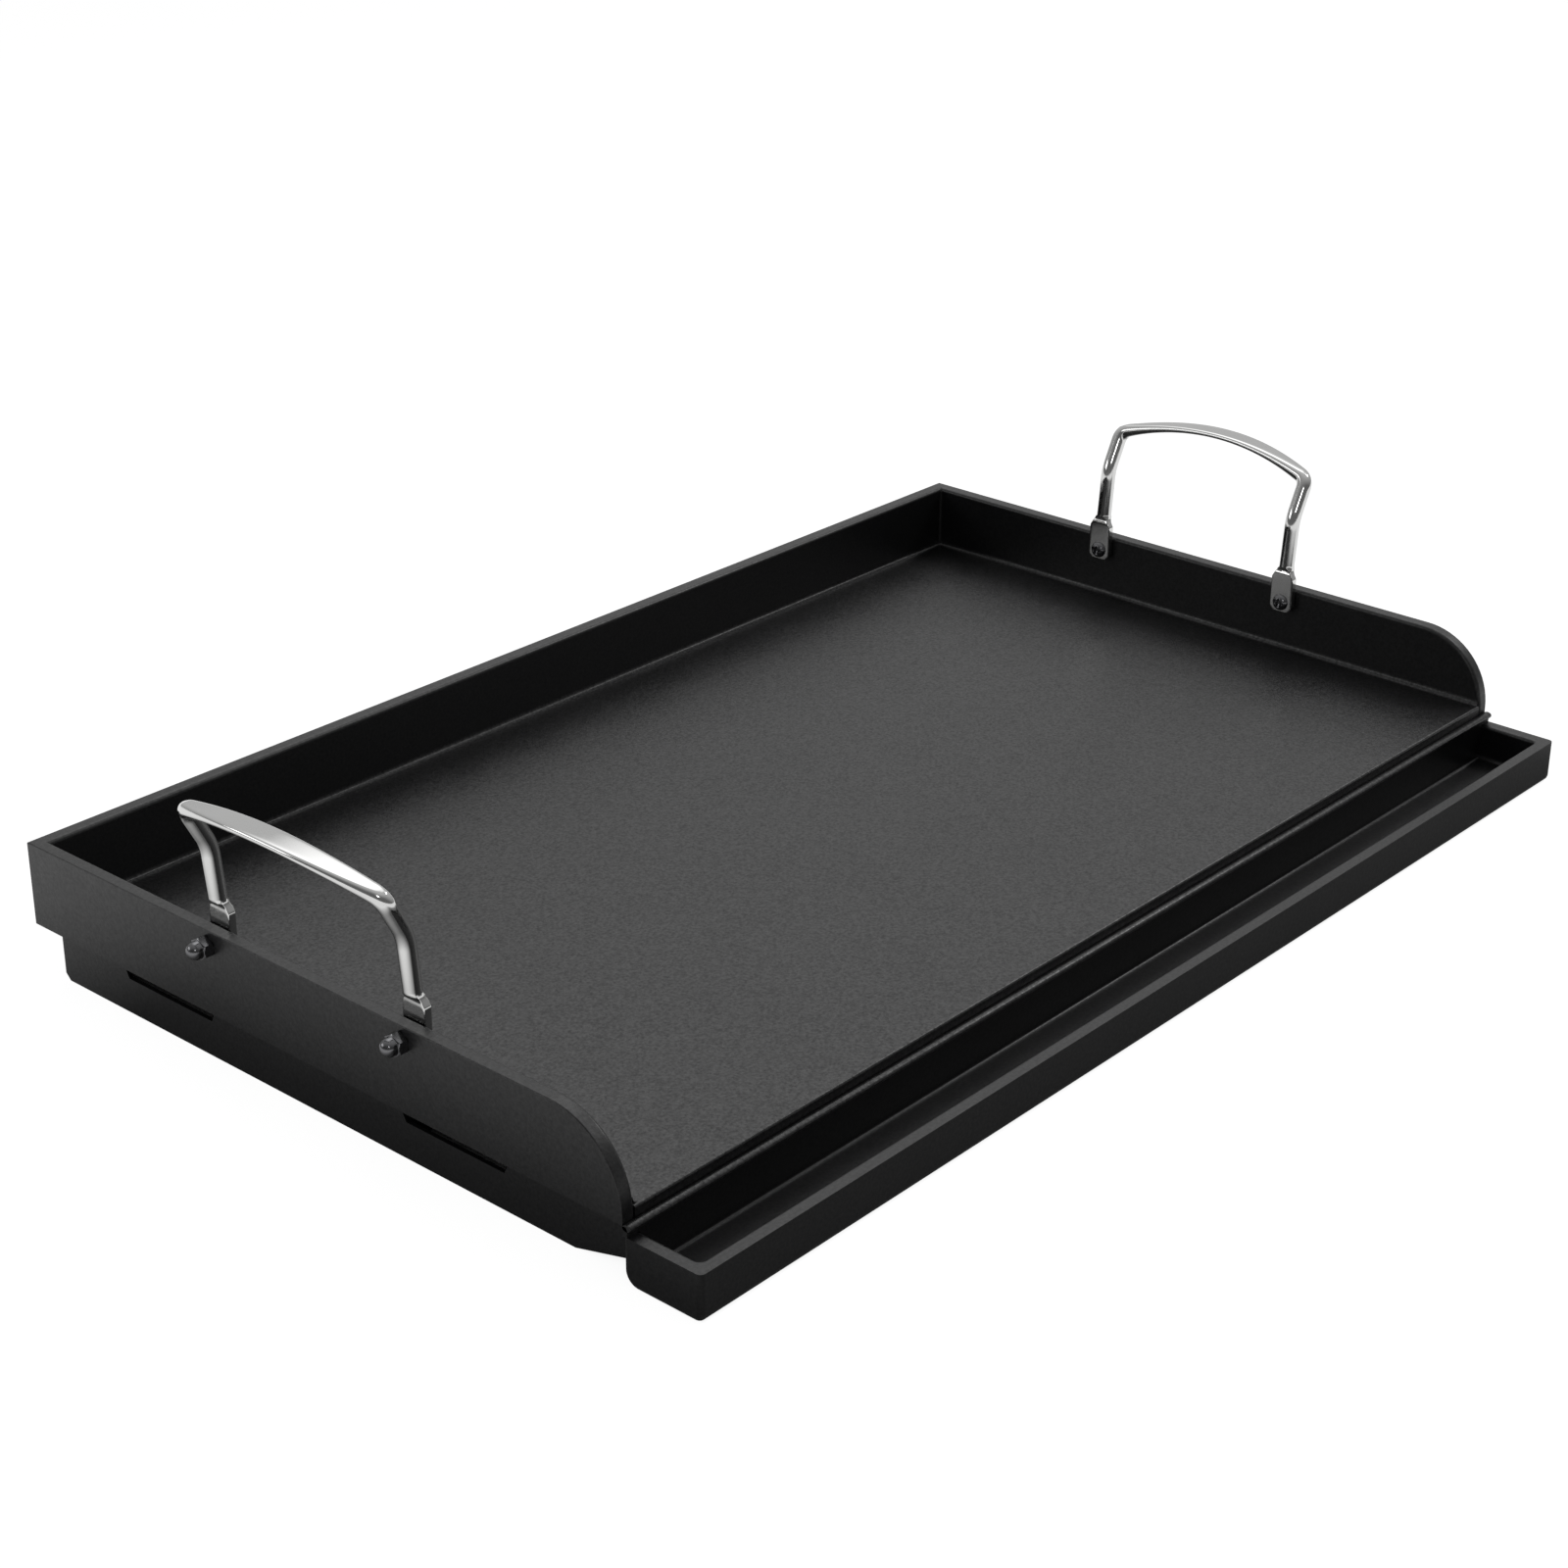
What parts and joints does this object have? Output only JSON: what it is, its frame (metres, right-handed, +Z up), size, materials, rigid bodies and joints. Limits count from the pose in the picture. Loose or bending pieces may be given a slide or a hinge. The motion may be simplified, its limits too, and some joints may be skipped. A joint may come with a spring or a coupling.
{
  "type": "griddle plate",
  "caption": "Flat coated griddle plate with raised walls on three sides, a front grease trough, a vented skirt base and a bolted bow handle at each end.",
  "frame": {"origin": "on the resting surface, under the middle of the overall footprint", "axes": "+X along the length towards the right handle, +Y from the grease trough to the back wall, +Z up"},
  "size_m": [0.6726, 0.4, 0.1344],
  "materials": {
    "black_coating": "satin, finely textured black non-stick coating on steel",
    "polished_steel": "polished stainless steel",
    "fastener_steel": "polished steel fasteners"
  },
  "bodies": {
    "root": {"cooking_plate": "black_coating", "back_wall": "black_coating", "left_side_wall": "black_coating", "right_side_wall": "black_coating", "grease_trough": "black_coating", "drip_rail": "black_coating", "left_skirt": "black_coating", "right_skirt": "black_coating", "rear_skirt": "black_coating", "front_cross_brace": "black_coating", "rear_cross_brace": "black_coating", "left_handle": "polished_steel", "right_handle": "polished_steel", "left_front_screw": "fastener_steel", "left_front_cap_nut": "fastener_steel", "left_rear_screw": "fastener_steel", "left_rear_cap_nut": "fastener_steel", "right_front_screw": "fastener_steel", "right_front_cap_nut": "fastener_steel", "right_rear_screw": "fastener_steel", "right_rear_cap_nut": "fastener_steel"}
  },
  "joints": []
}
